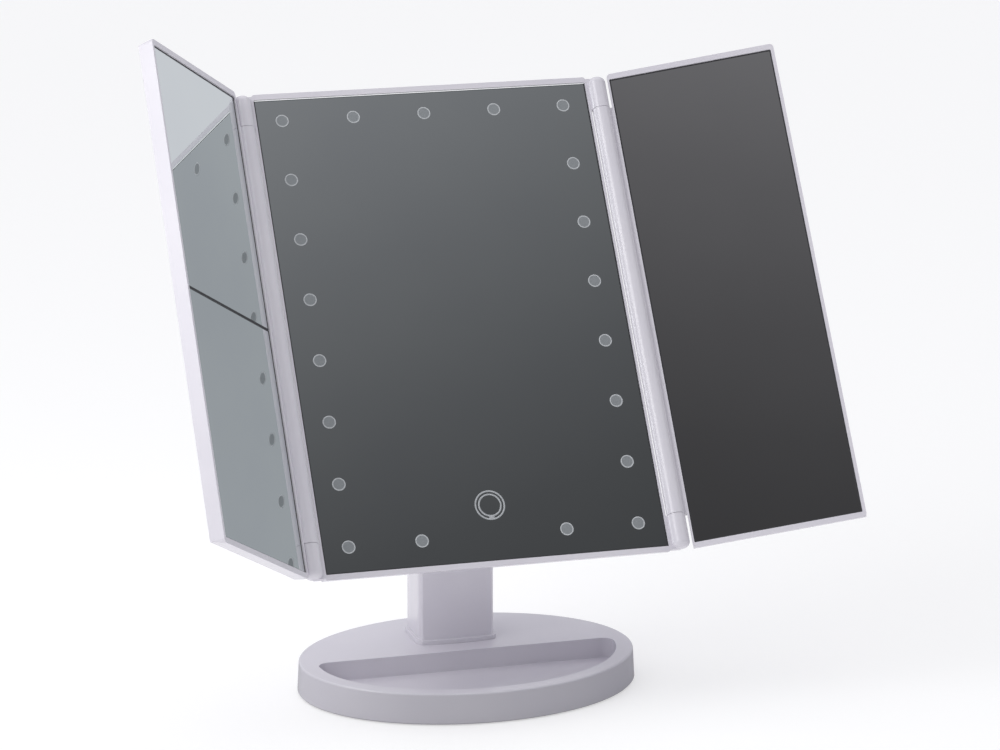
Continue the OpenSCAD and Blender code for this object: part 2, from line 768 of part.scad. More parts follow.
// a plate and a conical spring against one end of each cell, a plate with a dimple at the other
module battery_contacts() {
  lo = -bay_h / 2;
  cell_lo = -cell_len / 2 - 0.6;
  color(copper) in_panel() cell_places() {
    block(-4, 4, -4, 4, lo, lo + 0.4);
    translate([0, 0, lo + 0.4]) cylinder(h = cell_lo - lo - 0.4, r1 = 3.6, r2 = 2.4);
    block(-4, 4, -4, 4, bay_h / 2 - 0.4, bay_h / 2);
    translate([0, 0, cell_lo + cell_len]) cylinder(h = bay_h / 2 - 0.4 - cell_lo - cell_len, r = 1.5);
  }
}

module battery_door() {
  color(soft_white) in_panel() {
    block(bay_x + door_gap, bay_x + bay_w - door_gap, door_in_y, box_back, door_lo, door_hi);
    block(bay_x - tongue_out, bay_x + bay_w + tongue_out, door_in_y, door_in_y + tongue_t,
          door_lo, door_hi);
    // thumb ridges
    for (i = [0:4]) block(bay_x + bay_w / 2 - 7, bay_x + bay_w / 2 + 7, box_back - 0.1, box_back + 0.5,
                          door_lo + 8 + 2.4 * i, door_lo + 9 + 2.4 * i);
  }
}

// ---------- pivot hardware on the panel ----------

// steel plate inside the housing that the lugs are screwed to
module pivot_plate() {
  color(steel) in_panel() difference() {
    slab(2 * plate_half_x, 2 * plate_half_z, split_y - plate_t, split_y, 3);
    for (s = [-1, 1], z = [-1, 1]) {
      rod_y(s * (lug_in + lug_t / 2), z * plate_screw_z, split_y - plate_t - cut, split_y + cut,
            small_r + screw_play);
      rod_y(s * (lug_in + lug_t / 2), z * plate_screw_z, split_y - plate_t - cut,
            split_y - plate_t + small_head_h, small_head_r + 0.15);
    }
  }
}

module pivot_plate_screws() {
  color(steel) in_panel() for (s = [-1, 1], z = [-1, 1]) {
    rod_y(s * (lug_in + lug_t / 2), z * plate_screw_z, split_y - plate_t,
          split_y - plate_t + small_head_h, small_head_r);
    rod_y(s * (lug_in + lug_t / 2), z * plate_screw_z, split_y - plate_t, rear_y + 3.5, small_r);
  }
}

module pivot_pin() {
  color(steel) in_panel() rod_x(0, 0, -lug_out, lug_out, pivot_pin_r);
}

module pivot_caps() {
  color(soft_white) in_panel() {
    rod_x(0, 0, lug_out, lug_out + cap_t, cap_r);
    rod_x(0, 0, -lug_out - cap_t, -lug_out, cap_r);
  }
}

module friction_washers() {
  color(dark_rubber) in_panel() for (s = [0, 1]) mirror([s, 0, 0]) difference() {
    rod_x(0, 0, lug_in - washer_t, lug_in, washer_r);
    rod_x(0, 0, 0, lug_out, pivot_pin_r + pin_clear);
  }
}

module housing_screws() {
  color(steel) in_panel() for (p = housing_screw_at) {
    rod_y(p[0], p[1], floor_y + 0.6, rear_y - 0.1, small_r);
    rod_y(p[0], p[1], rear_y - small_head_h, rear_y - 0.1, small_head_r);
  }
}

// ---------- wings, measured from the hinge axis with x along the wing ----------

// depth of a panel plane as seen from the hinge axis
function from_axis(y) = y - axis_y;

// outer shape of a wing between two depths
module wing_body(y0, y1) {
  translate([wing_mid, -axis_y, 0]) sloped_slab(wing_w, y0, y1);
}

module wing_slab(w, h, y0, y1, r, mid) {
  translate([mid, 0, 0]) slab(w, h, from_axis(y0), from_axis(y1), r);
}

module wing_frame() {
  tape_back = floor_y + tape_t;
  floor_back = tape_back + floor_t;
  difference() {
    union() {
      wing_body(lip_y, split_y);
      cylinder(h = barrel_len, r = barrel_r, center = true);
      block(0, wing_in + 0.5, from_axis(lip_y), barrel_r, -barrel_len / 2, barrel_len / 2);
    }
    wing_slab(wing_glass_w + 2 * glass_gap, glass_h + 2 * glass_gap, lip_y - cut, tape_back, 0.5,
              wing_glass_mid);
    difference() {
      wing_slab(wing_w - 2 * side_lip, wall_in_h, floor_back, split_y + cut, 1, wing_mid);
      for (p = wing_screw_at)
        rod_y(p[0], p[1], from_axis(floor_back) - cut, from_axis(split_y), 2.4);
    }
    for (p = wing_screw_at)
      rod_y(p[0], p[1], from_axis(tape_back) + 0.3, from_axis(split_y) + cut, small_r + screw_play);
    for (up = [0, 1]) mirror([0, 0, up]) translate([0, 0, barrel_len / 2 - pin_seat])
      cylinder(h = pin_seat + cut, r = hinge_pin_r + pin_clear);
  }
}

module wing_cover() {
  difference() {
    wing_body(split_y, rear_y);
    for (p = wing_screw_at) {
      rod_y(p[0], p[1], from_axis(split_y) - cut, from_axis(rear_y) + cut, small_r + screw_play);
      rod_y(p[0], p[1], from_axis(rear_y) - small_head_h, from_axis(rear_y) + cut,
            small_head_r + 0.15);
    }
  }
}

module wing_tape() {
  wing_slab(wing_glass_w - 4, glass_h - 4, floor_y, floor_y + tape_t, 0.5, wing_glass_mid);
}

module wing_screws() {
  for (p = wing_screw_at) {
    rod_y(p[0], p[1], from_axis(floor_y + tape_t) + 0.5, from_axis(rear_y) - 0.1, small_r);
    rod_y(p[0], p[1], from_axis(rear_y) - small_head_h, from_axis(rear_y) - 0.1, small_head_r);
  }
}

// steel pins that join an end knuckle to the wing barrel
module hinge_pins() {
  pin_lo = barrel_len / 2 - pin_seat;
  pin_hi = knuckle_end - pin_end_wall - pin_end_play;
  for (up = [0, 1]) mirror([0, 0, up]) translate([0, 0, pin_lo])
    cylinder(h = pin_hi - pin_lo, r = hinge_pin_r);
}

module half_glass(up) {
  half_h = (glass_h - split_gap) / 2;
  translate([0, 0, up * (half_h + split_gap) / 2])
    wing_slab(wing_glass_w, half_h, glass_y, floor_y, 0.4, wing_glass_mid);
}

module left_wing_frame() {
  color(white) in_left_wing() wing_frame();
}

module left_wing_cover() {
  color(white) in_left_wing() wing_cover();
}

module left_upper_mirror() {
  color(mirror_grey) in_left_wing() half_glass(1);
}

module left_lower_mirror() {
  color(mirror_grey) in_left_wing() half_glass(-1);
}

module left_wing_tape() {
  color(tape_grey) in_left_wing() wing_tape();
}

module left_wing_screws() {
  color(steel) in_left_wing() wing_screws();
}

module left_hinge_pins() {
  color(steel) in_left_wing() hinge_pins();
}

module right_wing_frame() {
  color(white) in_right_wing() wing_frame();
}

module right_wing_cover() {
  color(white) in_right_wing() wing_cover();
}

module right_mirror() {
  color(mirror_grey) in_right_wing()
    wing_slab(wing_glass_w, glass_h, glass_y, floor_y, 0.4, wing_glass_mid);
}

module right_wing_tape() {
  color(tape_grey) in_right_wing() wing_tape();
}

module right_wing_screws() {
  color(steel) in_right_wing() wing_screws();
}

module right_hinge_pins() {
  color(steel) in_right_wing() hinge_pins();
}

base_shell();
base_cover();
base_weight();
anti_slip_pad();
base_screws();
neck_post();
neck_cover();
neck_screws();
neck_cover_screws();
pivot_bush();
main_frame();
rear_housing();
main_mirror();
light_windows();
touch_ring();
touch_board();
top_light_board();
left_light_board();
right_light_board();
bottom_light_board();
light_chips();
control_board();
usb_socket();
lead_wires();
batteries();
battery_contacts();
battery_door();
pivot_plate();
pivot_plate_screws();
pivot_pin();
pivot_caps();
friction_washers();
housing_screws();
left_wing_frame();
left_wing_cover();
left_upper_mirror();
left_lower_mirror();
left_wing_tape();
left_wing_screws();
left_hinge_pins();
right_wing_frame();
right_wing_cover();
right_mirror();
right_wing_tape();
right_wing_screws();
right_hinge_pins();
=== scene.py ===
"""Trifold vanity mirror: finishes, small parts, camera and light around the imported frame."""

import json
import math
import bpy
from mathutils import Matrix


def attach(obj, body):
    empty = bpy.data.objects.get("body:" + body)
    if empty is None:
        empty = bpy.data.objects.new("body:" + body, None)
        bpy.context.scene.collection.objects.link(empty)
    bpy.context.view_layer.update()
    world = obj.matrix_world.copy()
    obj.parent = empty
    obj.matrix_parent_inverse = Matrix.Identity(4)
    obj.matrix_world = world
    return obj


bl_info = {
    "name": "Trifold vanity mirror",
    "version": (1, 0, 0),
    "blender": (4, 5, 0),
    "location": "3D View > Sidebar > Vanity mirror",
    "description": "Finishes a folding table mirror with a light-ringed centre glass and sets up its studio",
    "category": "Object",
}

import bmesh
import bpy
from bpy.props import FloatProperty, FloatVectorProperty, PointerProperty, StringProperty
from mathutils import Matrix, Vector

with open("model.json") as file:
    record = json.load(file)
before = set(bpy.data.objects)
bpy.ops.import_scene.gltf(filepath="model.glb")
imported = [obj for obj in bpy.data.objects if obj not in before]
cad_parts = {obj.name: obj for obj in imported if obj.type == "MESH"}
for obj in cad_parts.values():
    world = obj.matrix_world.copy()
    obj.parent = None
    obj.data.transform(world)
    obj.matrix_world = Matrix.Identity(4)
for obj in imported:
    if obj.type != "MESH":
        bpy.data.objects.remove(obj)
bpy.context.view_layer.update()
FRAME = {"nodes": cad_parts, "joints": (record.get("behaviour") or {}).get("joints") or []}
NODES = FRAME["nodes"]
MM = 0.001
WELD = 0.01 * MM

# The joints and the panel's own directions at rest, read from the frame.
JOINTS = {j["name"]: j for j in FRAME["joints"]}
PANEL_UP = Vector(JOINTS["left_wing_hinge"]["axis"])
PANEL_RIGHT = Vector((1, 0, 0))
PANEL_FRONT = PANEL_RIGHT.cross(PANEL_UP)
PANEL_BACK = -PANEL_FRONT
DOWN = Vector((0, 0, -1))
BACK = Vector((0, 1, 0))


# ---------- colour and node helpers ----------

# Sockets of a Mix node that mixes two colours.
MIX_SHARE, MIX_FIRST, MIX_SECOND, MIX_RESULT = 0, 6, 7, 2
# Noise stays mostly between these values, so a look that follows it is stretched from them.
NOISE_SPAN = (0.35, 0.65)


def linear(hex_code):
    """An sRGB colour such as #e8e6ee as linear red, green, blue and alpha."""
    values = []
    for start in (1, 3, 5):
        share = int(hex_code[start : start + 2], 16) / 255
        values.append(share / 12.92 if share <= 0.04045 else ((share + 0.055) / 1.055) ** 2.4)
    return (*values, 1.0)


def add(tree, kind, settings=None, links=None):
    """Adds a node. Settings go to its attributes or input sockets, links join outputs to its inputs."""
    node = tree.nodes.new(kind)
    for key, value in (settings or {}).items():
        if isinstance(key, str) and hasattr(node, key):
            setattr(node, key, value)
        else:
            node.inputs[key].default_value = value
    for key, socket in (links or {}).items():
        tree.links.new(socket, node.inputs[key])
    return node


def new_material(name, settings):
    """A material with one Principled shader. Returns it, its tree, the shader and Object coordinates."""
    material = bpy.data.materials.new(name)
    material.use_nodes = True
    tree = material.node_tree
    tree.nodes.clear()
    shader = add(tree, "ShaderNodeBsdfPrincipled", settings)
    add(tree, "ShaderNodeOutputMaterial", None, {"Surface": shader.outputs[0]})
    place = add(tree, "ShaderNodeTexCoord").outputs["Object"]
    return material, tree, shader, place


def follow(tree, shader, pattern, colours=None, rough=None, relief=None, span=NOISE_SPAN):
    """Lets a surface follow a pattern: its colour between two hex colours, its roughness between
    two values, and its relief with a strength and a depth in metres."""
    stretch = {"From Min": span[0], "From Max": span[1]}
    if colours:
        share = add(tree, "ShaderNodeMapRange", stretch, {"Value": pattern}).outputs[0]
        ends = {"data_type": "RGBA", MIX_FIRST: linear(colours[0]), MIX_SECOND: linear(colours[1])}
        colour = add(tree, "ShaderNodeMix", ends, {MIX_SHARE: share}).outputs[MIX_RESULT]
        tree.links.new(colour, shader.inputs["Base Color"])
    if rough:
        stretch |= {"To Min": rough[0], "To Max": rough[1]}
        gloss = add(tree, "ShaderNodeMapRange", stretch, {"Value": pattern}).outputs[0]
        tree.links.new(gloss, shader.inputs["Roughness"])
    if relief:
        height = {"Strength": relief[0], "Distance": relief[1]}
        bump = add(tree, "ShaderNodeBump", height, {"Height": pattern}).outputs[0]
        tree.links.new(bump, shader.inputs["Normal"])


def patterned(name, settings, kind, pattern, **looks):
    """A material whose looks all follow one pattern node."""
    material, tree, shader, place = new_material(name, settings)
    follow(tree, shader, add(tree, kind, pattern, {"Vector": place}).outputs[0], **looks)
    return material


# ---------- Geometry Nodes helpers ----------

SOCKETS = {tuple: "NodeSocketVector", float: "NodeSocketFloat", int: "NodeSocketInt"}


def new_tree(name, inputs):
    """A Geometry Nodes tree whose inputs are {label: default}. Returns it and its input sockets."""
    tree = bpy.data.node_groups.new(name, "GeometryNodeTree")
    tree.interface.new_socket("Geometry", in_out="INPUT", socket_type="NodeSocketGeometry")
    for label, value in inputs.items():
        socket = tree.interface.new_socket(label, in_out="INPUT", socket_type=SOCKETS[type(value)])
        socket.default_value = value
    tree.interface.new_socket("Geometry", in_out="OUTPUT", socket_type="NodeSocketGeometry")
    return tree, tree.nodes.new("NodeGroupInput").outputs


def place_on_points(tree, inputs, shape, material, turn=None):
    """Puts the shape on every point with its z axis along Facing and, where the tree has it, its
    y axis along Up. Then realizes it and gives it the material."""
    rotation = add(tree, "FunctionNodeAlignRotationToVector", {"axis": "Z"}, {"Vector": inputs["Facing"]})
    if "Up" in inputs:
        about_z = {"axis": "Y", "pivot_axis": "Z"}
        links = {"Rotation": rotation.outputs[0], "Vector": inputs["Up"]}
        rotation = add(tree, "FunctionNodeAlignRotationToVector", about_z, links)
    if turn:
        links = {"Rotation": rotation.outputs[0], "Rotate By": turn}
        rotation = add(tree, "FunctionNodeRotateRotation", {"rotation_space": "LOCAL"}, links)
    links = {"Points": inputs["Geometry"], "Instance": shape, "Rotation": rotation.outputs[0]}
    placed = add(tree, "GeometryNodeInstanceOnPoints", None, links).outputs[0]
    solid = add(tree, "GeometryNodeRealizeInstances", None, {0: placed}).outputs[0]
    done = add(tree, "GeometryNodeSetMaterial", {"Material": material}, {"Geometry": solid}).outputs[0]
    add(tree, "NodeGroupOutput", None, {0: done})


def grow(name, points, tree, values, body):
    """Runs a tree on loose points and keeps the result as a plain mesh that rides on a body."""
    mesh = bpy.data.meshes.new(name)
    mesh.from_pydata(points, [], [])
    piece = bpy.data.objects.new(name, mesh)
    bpy.context.scene.collection.objects.link(piece)
    modifier = piece.modifiers.new("tree", "NODES")
    modifier.node_group = tree
    for item in tree.interface.items_tree:
        if item.in_out == "INPUT" and item.name in values:
            modifier[item.identifier] = values[item.name]
    graph = bpy.context.evaluated_depsgraph_get()
    solid = bpy.data.meshes.new_from_object(piece.evaluated_get(graph))
    piece.modifiers.remove(modifier)
    # Geometry without a material leaves an empty slot, which is taken out.
    while None in solid.materials[:]:
        solid.materials.pop(index=solid.materials[:].index(None))
    piece.data = solid
    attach(piece, body)
    return piece


def end_centres(node, facing):
    """The middle of the end face of each loose solid of a CAD node, on the side that it faces."""
    shell = bmesh.new()
    shell.from_mesh(NODES[node].data)
    bmesh.ops.remove_doubles(shell, verts=shell.verts, dist=WELD)
    left = set(shell.verts)
    centres = []
    # Taken in the mesh's own order, so that the centres come out in the same order each run.
    for first in shell.verts:
        if first not in left:
            continue
        left.remove(first)
        island = [first]
        for vert in island:
            near = [e.other_vert(vert) for e in vert.link_edges if e.other_vert(vert) in left]
            left.difference_update(near)
            island.extend(near)
        reach = max(v.co.dot(facing) for v in island)
        rim = [v.co for v in island if reach - v.co.dot(facing) < WELD]
        centres.append(sum(rim, Vector()) / len(rim))
    shell.free()
    return centres


def front_of(node, facing):
    """The middle, width and height of the flat front of a glass that faces the given way."""
    corners = [v.co for v in NODES[node].data.vertices]
    middle = Vector()
    sizes = []
    for way in (PANEL_UP.cross(facing), PANEL_UP):
        reach = [c.dot(way) for c in corners]
        middle += way * (min(reach) + max(reach)) / 2
        sizes.append(max(reach) - min(reach))
    return middle + facing * max(c.dot(facing) for c in corners), *sizes


# ---------- finishes ----------

ABS_IOR = 1.54
GLASS_IOR = 1.5
RUBBER_IOR = 1.52
RESIN_IOR = 1.5


def moulded_abs(name, colour, shade, rough):
    """Injection moulded ABS straight from a polished mould: an even glossy skin, with faint sink
    waves and slightly uneven gloss from handling."""
    material, tree, shader, place = new_material(name, {"IOR": ABS_IOR})
    # The size of the lumps and what follows them: sink waves, slow shifts of tone, handled gloss.
    looks = (
        (9 * MM, {"relief": (0.06, 0.15 * MM)}),
        (45 * MM, {"colours": (colour, shade)}),
        (20 * MM, {"rough": (rough * 0.9, rough * 1.15)}),
    )
    for size, look in looks:
        lumps = add(tree, "ShaderNodeTexNoise", {"Scale": 1 / size}, {"Vector": place}).outputs[0]
        follow(tree, shader, lumps, **look)
    return material


def satin_plastic(name, colour, shade, rough):
    """Satin plastic, such as ABS from a spark-eroded mould: an even grain that dulls the shine. The
    grain is drawn coarser than the real tenth of a millimetre, so that it shows."""
    grain = {"Scale": 1 / (0.6 * MM), "Detail": 3}
    looks = {"colours": (colour, shade), "rough": (rough * 0.9, rough * 1.1), "relief": (0.25, 0.05 * MM)}
    return patterned(name, {"IOR": ABS_IOR}, "ShaderNodeTexNoise", grain, **looks)


def silvered_glass(name, colour, shade):
    """Float glass silvered on the back: a clean mirror with a faint tint and the faintest smears."""
    smears = {"Scale": 1 / (60 * MM), "Detail": 3}
    looks = {"colours": (colour, shade), "rough": (0.004, 0.012)}
    return patterned(name, {"Metallic": 1}, "ShaderNodeTexNoise", smears, **looks)


def etched_glass(name, colour, shade, rough):
    """Glass etched where the silver is left off: dull, grey and slightly speckled. The speckles are
    drawn coarser than real etching, so that they show."""
    speckles = {"Scale": 1 / (0.4 * MM)}
    looks = {"colours": (colour, shade), "rough": (rough * 0.9, rough * 1.1)}
    return patterned(name, {"IOR": GLASS_IOR}, "ShaderNodeTexNoise", speckles, **looks)


def gap_shade_paint(name, colour, shade):
    """Near black, half gloss paint round the edge of a silvered glass, as painted shade: it stands in for the
    shadow in the gap between the glass and the frame's lip.
    """
    strokes = {"Scale": 1 / (1.5 * MM), "Detail": 3}
    looks = {"colours": (colour, shade), "relief": (0.2, 0.03 * MM)}
    return patterned(name, {"IOR": RESIN_IOR, "Roughness": 0.45}, "ShaderNodeTexNoise", strokes, **looks)


def worked_metal(name, colour, shade, rough, grain_size=0.5 * MM):
    """Metal that was turned, rolled, stamped or plated: bright, with a fine grain left by the tool,
    drawn coarser than it is so that it shows."""
    grain = {"Scale": 1 / grain_size, "Detail": 4}
    looks = {"colours": (colour, shade), "rough": (rough * 0.8, rough * 1.2), "relief": (0.1, 0.02 * MM)}
    return patterned(name, {"Metallic": 1}, "ShaderNodeTexNoise", grain, **looks)


def soft_rubber(name, colour, shade, rough=0.85):
    """Moulded rubber or foam: dark or grey, dull, with a fine pebbled skin."""
    pebbles = {"Scale": 1 / (1.2 * MM)}
    looks = {"colours": (colour, shade), "relief": (0.4, 0.1 * MM), "span": (0, 0.7)}
    return patterned(name, {"IOR": RUBBER_IOR, "Roughness": rough}, "ShaderNodeTexVoronoi", pebbles, **looks)


def solder_mask(name, colour, shade):
    """Green solder mask on a fibreglass board: glossy, with the copper runs as lighter lines."""
    runs = {"Scale": 1 / (4 * MM), "distance": "MANHATTAN", "feature": "F1"}
    looks = {"colours": (colour, shade), "relief": (0.2, 0.03 * MM), "span": (0.35, 0.4)}
    return patterned(name, {"IOR": RESIN_IOR, "Roughness": 0.35}, "ShaderNodeTexVoronoi", runs, **looks)


def printed_sleeve(name, colour, shade):
    """Plain printed film shrunk round a battery cell: glossy with a slight metallic shift."""
    wrinkles = {"Scale": 1 / (3 * MM)}
    looks = {"colours": (colour, shade), "relief": (0.15, 0.05 * MM)}
    return patterned(name, {"Metallic": 0.3, "Roughness": 0.25}, "ShaderNodeTexNoise", wrinkles, **looks)


def dress(material, *names):
    """Gives CAD nodes the material."""
    for name in names:
        NODES[name].data.materials.clear()
        NODES[name].data.materials.append(material)


BEVEL_SEGMENTS = 3
# Faces that meet at more than SHARP_EDGE get a rounded edge, and at less than FLAT_EDGE are one face.
SHARP_EDGE = math.radians(33)
FLAT_EDGE = math.radians(0.4)
NORMAL_WEIGHT = 60


def soften(name, radius):
    """Rounds the moulded edges of a CAD node with live modifiers; its own mesh stays as it is."""
    node = NODES[name]
    node.data.polygons.foreach_set("use_smooth", [True] * len(node.data.polygons))
    weld = node.modifiers.new("weld", "WELD")
    weld.merge_threshold = WELD
    flat = node.modifiers.new("flat", "DECIMATE")
    flat.decimate_type = "DISSOLVE"
    flat.angle_limit = FLAT_EDGE
    bevel = node.modifiers.new("edges", "BEVEL")
    bevel.width = radius
    bevel.segments = BEVEL_SEGMENTS
    bevel.limit_method = "ANGLE"
    bevel.angle_limit = SHARP_EDGE
    bevel.use_clamp_overlap = True
    bevel.miter_outer = "MITER_ARC"
    normals = node.modifiers.new("normals", "WEIGHTED_NORMAL")
    normals.keep_sharp = False
    normals.weight = NORMAL_WEIGHT


# ---------- glasses and screws ----------


def wing_back(joint):
    """The way the back of a wing faces, turned from flat to its angle at rest."""
    turned = -math.radians(JOINTS[joint]["range_deg"][0])
    return Matrix.Rotation(turned, 3, Vector(JOINTS[joint]["axis"])) @ PANEL_BACK


LEFT_BACK = wing_back("left_wing_hinge")
RIGHT_BACK = wing_back("right_wing_hinge")

# Glasses: CAD node, body and the way it faces.
GLASSES = (
    ("main_mirror", "panel", PANEL_FRONT),
    ("left_upper_mirror", "left_wing", -LEFT_BACK),
    ("left_lower_mirror", "left_wing", -LEFT_BACK),
    ("right_mirror", "right_wing", -RIGHT_BACK),
)

# Screws whose heads show: CAD node, body, the way the head faces and its radius.
SMALL_HEAD = 1.7 * MM
LARGE_HEAD = 2.6 * MM
SCREW_SETS = (
    ("housing_screws", "panel", PANEL_BACK, SMALL_HEAD),
    ("left_wing_screws", "left_wing", LEFT_BACK, SMALL_HEAD),
    ("right_wing_screws", "right_wing", RIGHT_BACK, SMALL_HEAD),
    ("neck_cover_screws", "stand", BACK, LARGE_HEAD),
    ("base_screws", "stand", DOWN, LARGE_HEAD),
)


# ---------- the room that the glasses mirror ----------

# The room as (elevation in degrees, radiance): all round, and in front, where a dark ceiling hangs
# over the user and shows in the glass.
ROOM = (
    (-90, 0.62), (0, 0.73), (10, 0.73), (25, 0.54), (33, 0.50), (38, 0.60), (46, 1.05), (90, 1.3),
)
ROOM_FRONT = (
    (-90, 0.60), (0, 0.25), (22, 0.45), (36, 0.12), (44, 0.045), (48, 0.055), (50.5, 0.078), (52.5, 0.115),
    (54.5, 0.165), (56.5, 0.225), (61, 0.34), (72, 1.2), (90, 1.3),
)
# The front's middle, and how far a direction has to agree with it to be a little or wholly front.
FRONT_WAY = (-0.1, -0.995, 0)
FRONT_SHARE = (0.45, 0.8)
# The room is faintly blue, but nearly neutral where it is brighter than LAMP_RADIANCE, as a lamp is.
ROOM_TINT = (0.98, 0.995, 1.05)
LAMP_TINT = (1, 1, 1.02)
LAMP_RADIANCE = 1
# The point of the object that the lights are turned to.
LIT_POINT = Vector((0, 0, 0.14))


# ---------- sizes and colours that a user would change ----------


def length_property(name, description, default):
    """A length in metres."""
    return FloatProperty(name=name, description=description, default=default, unit="LENGTH")


def place_property(name, description, default):
    """A point in metres."""
    return FloatVectorProperty(name=name, description=description, default=default, size=3, unit="LENGTH")


def angle_property(name, description, degrees):
    """An angle, given here in degrees."""
    return FloatProperty(name=name, description=description, default=math.radians(degrees), unit="ROTATION")


def power_property(name, description, default):
    """A power in watts."""
    return FloatProperty(name=name, description=description, default=default, unit="POWER")


def colour_property(name, description, default):
    """An sRGB hex colour."""
    return StringProperty(name=name, description=description, default=default)


class MirrorPlastic(bpy.types.PropertyGroup):
    colour: colour_property("Plastic colour", "Colour of the glossy housing", "#dddae1")
    shade: colour_property("Plastic shade", "Second tone of the housing", "#d9d6de")
    gloss: FloatProperty(name="Roughness", description="Roughness of the housing", default=0.22, min=0, max=1)
    edge: length_property("Edge radius", "Rounding of the moulded edges", 0.35 * MM)
    satin: colour_property("Satin colour", "Colour of the satin covers", "#dad8df")
    satin_shade: colour_property("Satin shade", "Second tone of the satin covers", "#d4d2d9")
    satin_edge: length_property("Satin edge radius", "Rounding of the edges of the satin covers", 0.25 * MM)


class MirrorGlass(bpy.types.PropertyGroup):
    colour: colour_property("Glass colour", "Tint of the silvered glass", "#e2e6e6")
    shade: colour_property("Glass shade", "Second tone of the glass", "#dfe3e4")
    right_colour: colour_property("Right glass colour", "Tint of the right wing's glass", "#d2d0d0")
    right_shade: colour_property("Right glass shade", "Second tone of the right wing's glass", "#cfcdcd")


class MirrorEdges(bpy.types.PropertyGroup):
    # The band is painted shade: it stands in for the shadow in the gap between glass and frame lip.
    band: length_property("Edge band", "Width of the dark edge", 0.7 * MM)
    rise: length_property("Edge rise", "Thickness of the dark edge", 0.12 * MM)
    # The bead is a painted highlight: it stands in for the lit inner wall of the lip above the centre glass.
    bead: length_property("Bead radius", "Radius of the bright bead", 0.5 * MM)


class MirrorMarks(bpy.types.PropertyGroup):
    window_radius: length_property("Window radius", "Outer radius of a window rim", 3.1 * MM)
    window_band: length_property("Window band", "Width of the etched rim of a window", 0.55 * MM)
    key_radius: length_property("Key radius", "Outer radius of the touch key", 7.1 * MM)
    key_inner: length_property("Inner radius", "Outer radius of the inner ring", 5.5 * MM)
    key_band: length_property("Key band", "Width of each ring of the key", 0.75 * MM)


class MirrorScrews(bpy.types.PropertyGroup):
    dome: length_property("Dome", "Height of the domed head", 0.35 * MM)
    slot: length_property("Slot", "Width of the cross recess", 0.5 * MM)


class MirrorStudio(bpy.types.PropertyGroup):
    azimuth: angle_property("Camera azimuth", "Angle from the front", -15.99)
    elevation: angle_property("Camera elevation", "Angle above the horizon", 14.74)
    distance: length_property("Camera distance", "Distance to the target", 1.918)
    lens: FloatProperty(name="Lens", description="Focal length", default=150.2, unit="CAMERA")
    target: place_property("Target", "Point in the middle of the picture", (0.01638, 0.00065, 0.14725))
    floor_size: length_property("Floor size", "Side of the white sweep", 40)
    floor_colour: colour_property("Floor colour", "Colour of the white sweep", "#bcbcbd")
    glow: FloatProperty(name="Sweep glow", description="Own light of the white sweep", default=0.52)
    key_place: place_property("Key place", "Where the key light stands", (-0.72, -0.19, 0.81))
    key_size: length_property("Key size", "Side of the key light", 0.5)
    key_power: power_property("Key power", "Power of the key light", 2.6)
    fill_place: place_property("Fill place", "Where the front light stands", (-0.81, -0.81, 0.75))
    fill_size: length_property("Fill size", "Side of the front light", 0.7)
    fill_power: power_property("Fill power", "Power of the front light", 2)


# ---------- pieces ----------

# The camera's sensor in millimetres, and how far it sees in metres.
SENSOR_WIDTH = 36
FAR_CLIP = 100
# Steps round a ring, along the bridge between the rings and round the bead.
RING_STEPS = 64
BRIDGE_STEPS = 12
BEAD_STEPS = 16
# How far the etched marks stand out of the glass.
MARK_RISE = 0.1 * MM
# The cross in a screw head: its length in head radii, and its depth in dome heights.
CROSS_LENGTH = 1.25
CROSS_DEPTH = 3


class VANITY_OT_camera(bpy.types.Operator):
    """The camera at the photograph's viewing angle"""

    bl_idname = "vanity.camera"
    bl_label = "Camera"

    def execute(self, context):
        studio = context.scene.vanity_studio
        turn, rise = studio.azimuth, studio.elevation
        back = Vector((math.sin(turn) * math.cos(rise), -math.cos(turn) * math.cos(rise), math.sin(rise)))
        data = bpy.data.cameras.new("camera")
        data.sensor_width = SENSOR_WIDTH
        data.lens = studio.lens
        data.clip_end = FAR_CLIP
        camera = bpy.data.objects.new("camera", data)
        camera.location = Vector(studio.target) + back * studio.distance
        camera.rotation_mode = "QUATERNION"
        camera.rotation_quaternion = (-back).to_track_quat("-Z", "Y")
        context.scene.collection.objects.link(camera)
        context.scene.camera = camera
        return {"FINISHED"}


class VANITY_OT_housings(bpy.types.Operator):
    """Glossy white housings, neck and base, and the satin covers"""

    bl_idname = "vanity.housings"
    bl_label = "Housings"

    def execute(self, context):
        plastic = context.scene.vanity_plastic
        glossy = ["base_shell", "neck_post", "neck_cover", "main_frame", "rear_housing"]
        glossy += ["left_wing_frame", "left_wing_cover", "right_wing_frame", "right_wing_cover"]
        dress(moulded_abs("glossy_white_abs", plastic.colour, plastic.shade, plastic.gloss), *glossy)
        satin = ["base_cover", "battery_door", "pivot_caps"]
        dress(satin_plastic("satin_white_abs", plastic.satin, plastic.satin_shade, rough=0.5), *satin)
        for name in glossy:
            soften(name, plastic.edge)
        for name in satin:
            soften(name, plastic.satin_edge)
        return {"FINISHED"}


class VANITY_OT_glass(bpy.types.Operator):
    """Silvered glass of the centre and the wings, with its light windows and touch key"""

    bl_idname = "vanity.glass"
    bl_label = "Glass"

    def execute(self, context):
        glass = context.scene.vanity_glass
        silvered = silvered_glass("silvered_float_glass", glass.colour, glass.shade)
        dress(silvered, "main_mirror", "left_upper_mirror", "left_lower_mirror")
        # The right wing's glass is the same silvered glass, drawn a little darker.
        dress(silvered_glass("right_silvered_glass_darker", glass.right_colour, glass.right_shade), "right_mirror")
        dress(etched_glass("window_glass", "#8d9194", "#85898c", rough=0.35), "light_windows")
        dress(silvered_glass("key_gap_glass", glass.colour, glass.shade), "touch_ring")
        return {"FINISHED"}


